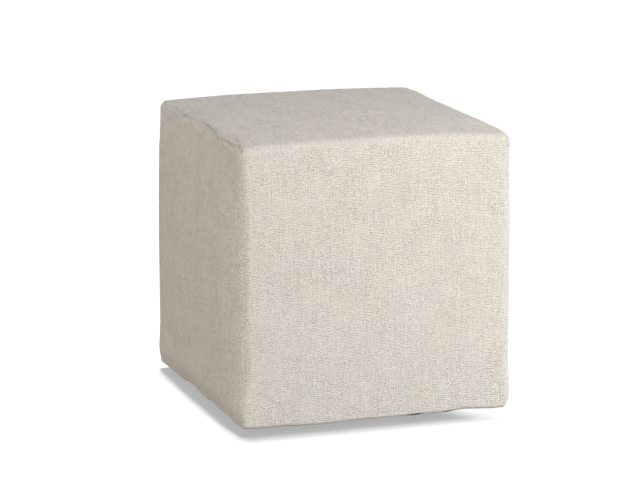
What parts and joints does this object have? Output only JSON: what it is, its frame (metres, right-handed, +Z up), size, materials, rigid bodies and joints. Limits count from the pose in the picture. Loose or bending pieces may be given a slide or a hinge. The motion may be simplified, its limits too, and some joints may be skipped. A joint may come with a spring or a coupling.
{
  "type": "cube ottoman upholstered in linen-look cloth",
  "caption": "Cube ottoman: padded box covered in heathered linen-look cloth, plain side seams, soft rolled edges, low glides.",
  "frame": {"origin": "on the floor, under the middle of the cube", "axes": "+Z up, the front faces -Y, the left side faces -X"},
  "size_m": [0.462, 0.4642, 0.464],
  "materials": {
    "linen_weave": "heathered linen-look plain weave with slubs, oatmeal, matt",
    "dust_cover_cloth": "thin dark non-woven cloth, matt",
    "glide_plastic": "moulded dark brown plastic, satin"
  },
  "bodies": {
    "root": {"filled_body": "linen_weave", "side_panel_left": "linen_weave", "side_panel_right": "linen_weave", "dust_cover": "dust_cover_cloth", "glide_front_left": "glide_plastic", "glide_front_right": "glide_plastic", "glide_back_left": "glide_plastic", "glide_back_right": "glide_plastic"}
  },
  "joints": []
}
